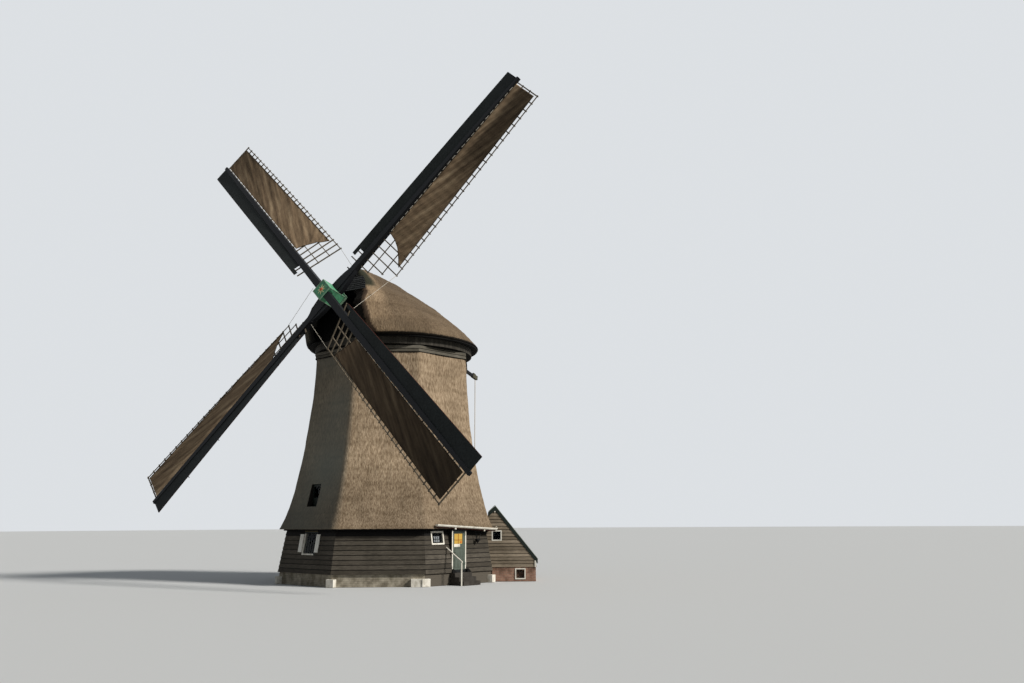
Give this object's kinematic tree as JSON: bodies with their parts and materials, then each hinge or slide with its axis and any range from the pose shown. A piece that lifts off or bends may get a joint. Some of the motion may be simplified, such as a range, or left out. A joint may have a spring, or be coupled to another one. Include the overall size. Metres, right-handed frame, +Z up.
{
  "type": "thatched smock windmill",
  "caption": "Thatched octagonal smock windmill on a low boarded base with a lean-to annex, with a turning thatched cap and lattice sails with spread cloth on a tilted windshaft.",
  "frame": {"origin": "centre of the octagonal tower on the flat underside of its plinth, at ground level", "axes": "+Z up along the tower's axis; -Y out of the plain front facet; +X out of the facet with the annex"},
  "size_m": [18.2262, 15.8885, 22.1164],
  "materials": {
    "masonry": "rough",
    "white_stone": "matte",
    "red_brick": "rough",
    "tarred_boards": "matte",
    "bare_timber": "matte",
    "tower_thatch": "rough",
    "cap_thatch": "rough",
    "grey_paint": "satin",
    "white_paint": "satin",
    "green_paint": "gloss",
    "window_glass": "gloss",
    "black_iron": "satin",
    "green_iron": "satin",
    "roof_cover": "matte",
    "rope": "matte",
    "stock_paint": "satin",
    "lattice_wood": "matte",
    "sail_board_paint": "satin",
    "sailcloth": "matte"
  },
  "bodies": {
    "tower": {"plinth": "masonry", "corner_piers": "white_stone", "wall_front": "tarred_boards", "wall_front_left": "tarred_boards", "wall_left": "tarred_boards", "wall_back_left": "tarred_boards", "wall_back": "tarred_boards", "wall_back_right": "tarred_boards", "wall_right": "tarred_boards", "door_wall_left": "tarred_boards", "door_wall_right": "tarred_boards", "door_wall_head": "tarred_boards", "loft_floor": "bare_timber", "thatch_front": "tower_thatch", "thatch_front_right": "tower_thatch", "thatch_right": "tower_thatch", "thatch_back_right": "tower_thatch", "thatch_back": "tower_thatch", "thatch_back_left": "tower_thatch", "thatch_left": "tower_thatch", "thatch_front_left": "tower_thatch", "curb_boards": "grey_paint", "door_frame": "white_paint", "gutter": "white_paint", "stair": "bare_timber", "handrail": "white_paint", "lantern": "black_iron", "window_frames": "white_paint", "window_glass": "window_glass", "annex_plinth": "red_brick", "annex_front_wall": "tarred_boards", "annex_back_wall": "tarred_boards", "annex_eave_wall": "tarred_boards", "annex_roof": "roof_cover", "annex_barge_boards": "green_paint"},
    "front_door": {"door_leaf": "green_paint", "door_glass": "window_glass"},
    "left_shutter": {"shutter_left": "white_paint"},
    "right_shutter": {"shutter_right": "white_paint"},
    "cap": {"cap_thatch_left": "cap_thatch", "cap_thatch_right": "cap_thatch", "gable_boards": "tarred_boards", "cap_beams": "bare_timber", "cap_ring": "tarred_boards", "cap_soffit": "tarred_boards", "brake_lever": "stock_paint", "brake_rope": "rope"},
    "rotor": {"windshaft": "black_iron", "poll_end": "green_iron", "stock_outer": "stock_paint", "stock_inner": "stock_paint", "lattice_upper_left": "lattice_wood", "lattice_lower_left": "lattice_wood", "lattice_lower_right": "lattice_wood", "lattice_upper_right": "lattice_wood", "sail_boards": "sail_board_paint", "sail_cloths": "sailcloth"}
  },
  "joints": [
    {"name": "cap_yaw", "type": "hinge", "parent": "tower", "child": "cap", "pos_m": [0, 0, 10.39], "axis": [0, 0, 1], "continuous": true},
    {"name": "sail_rotor", "type": "hinge", "parent": "cap", "child": "rotor", "pos_m": [-2.46045, -3.64777, 12.55], "axis": [-0.5449, -0.8078, 0.225], "continuous": true},
    {"name": "front_door_hinge", "type": "hinge", "parent": "tower", "child": "front_door", "pos_m": [3.53129, -3.07591, 0.61], "axis": [0, 0, 1], "range_deg": [0, 110]},
    {"name": "left_shutter_hinge", "type": "hinge", "parent": "tower", "child": "left_shutter", "pos_m": [-3.47433, -2.95107, 1.74945], "axis": [0.1162, 0.1162, 0.9864], "range_deg": [0, 175]},
    {"name": "right_shutter_hinge", "type": "hinge", "parent": "tower", "child": "right_shutter", "pos_m": [-2.80258, -3.62282, 1.74945], "axis": [-0.1162, -0.1162, -0.9864], "range_deg": [0, 175]}
  ]
}
